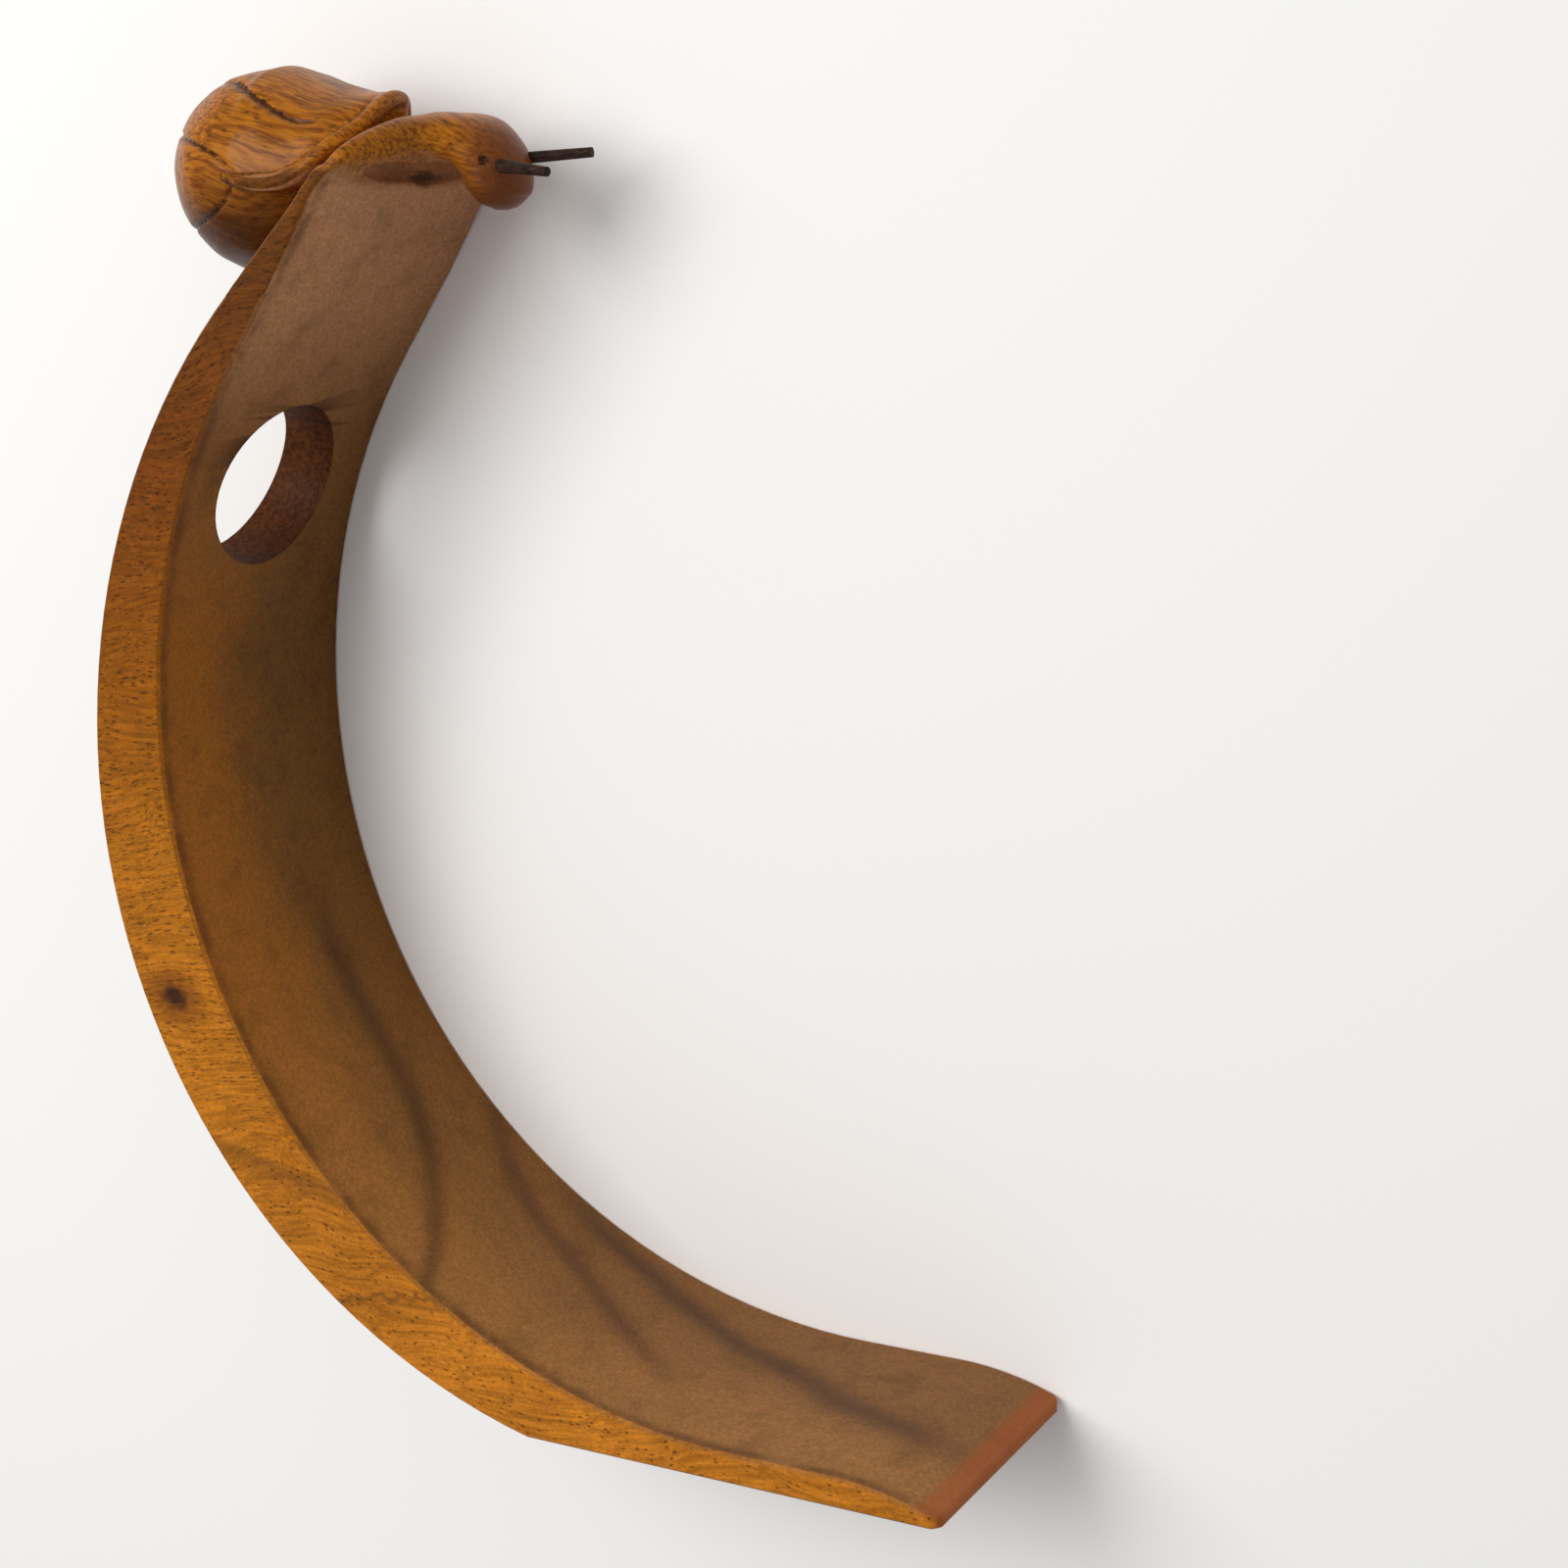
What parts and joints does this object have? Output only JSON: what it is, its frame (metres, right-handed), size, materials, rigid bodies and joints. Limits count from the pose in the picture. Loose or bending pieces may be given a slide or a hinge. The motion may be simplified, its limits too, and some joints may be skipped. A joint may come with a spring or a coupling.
{
  "type": "balancing wine bottle holder",
  "caption": "Carved wooden arc with a flat foot, a hole for a bottle's neck and a snail carved on its upper end.",
  "frame": {"origin": "under the middle of the whole piece, on the side that the board lies on", "axes": "+X along the foot towards the toe, +Y up when in use, +Z across the board's thickness"},
  "size_m": [0.1862, 0.2638, 0.0562],
  "materials": {
    "carved_wood": "hand-rubbed hardwood, satin on the sides and polished on the carving",
    "feeler_wood": "dark bare sticks"
  },
  "bodies": {
    "root": {"carved_holder": "carved_wood", "near_feeler": "feeler_wood", "far_feeler": "feeler_wood"}
  },
  "joints": []
}
